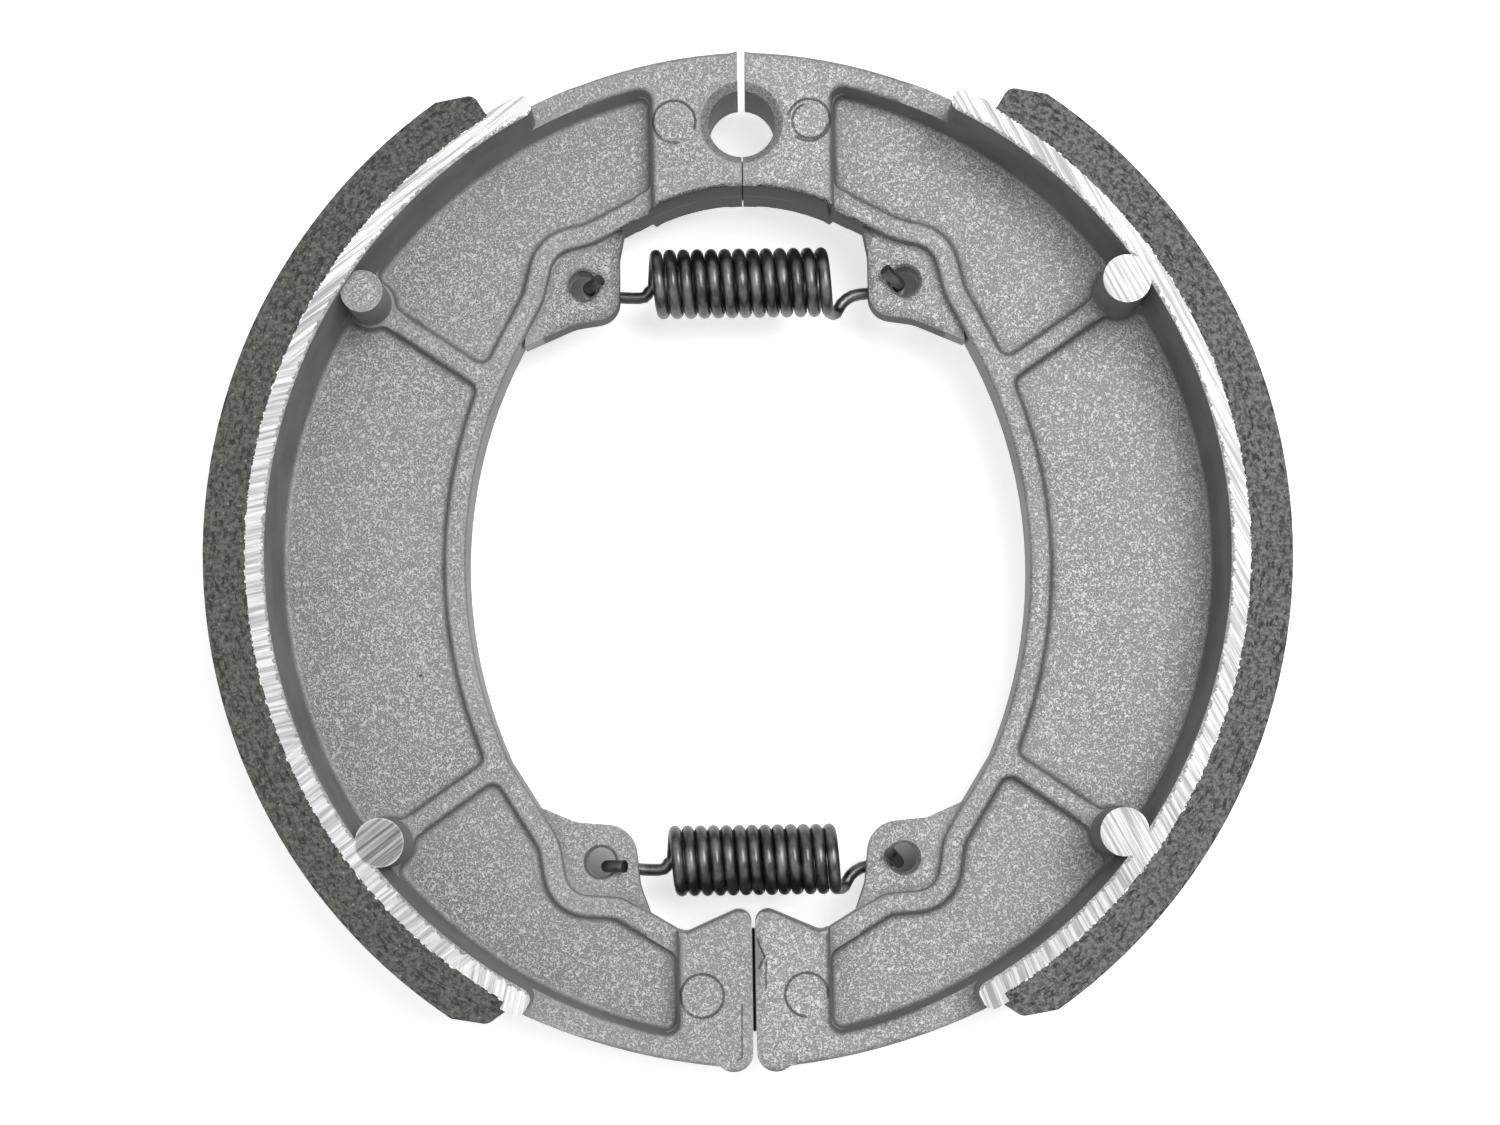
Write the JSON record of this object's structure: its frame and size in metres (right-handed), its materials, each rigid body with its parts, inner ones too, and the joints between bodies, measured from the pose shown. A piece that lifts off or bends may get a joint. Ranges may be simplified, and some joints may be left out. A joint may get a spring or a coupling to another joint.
{
  "type": "brake shoe pair",
  "caption": "Pair of curved drum brake shoes with bonded linings, hinged on a shared anchor bore and held together by coil springs.",
  "frame": {"origin": "on the drum axis, in the plane of the rims' rear edges, which the pair rests on", "axes": "+X from the left shoe to the right shoe, +Y towards the anchor bore, +Z along the drum axis towards the front"},
  "size_m": [0.1072, 0.1027, 0.025],
  "materials": {
    "casting": "shot-blasted die casting with ground rim edges",
    "lining": "moulded friction lining, matt and fibrous",
    "spring": "dark oiled spring wire"
  },
  "bodies": {
    "left_side": {"left_shoe": "casting", "left_lining": "lining", "upper_spring": "spring", "lower_spring": "spring"},
    "right_side": {"right_shoe": "casting", "right_lining": "lining"}
  },
  "joints": [
    {"name": "anchor_hinge", "type": "hinge", "parent": "left_side", "child": "right_side", "pos_m": [0, 0.04388, 0.0125], "axis": [0, 0, 1], "range_deg": [0, 4.4], "stiffness_Nm_per_rad": 68, "springref_deg": -1.72, "deforming": ["upper_spring", "lower_spring"]}
  ]
}
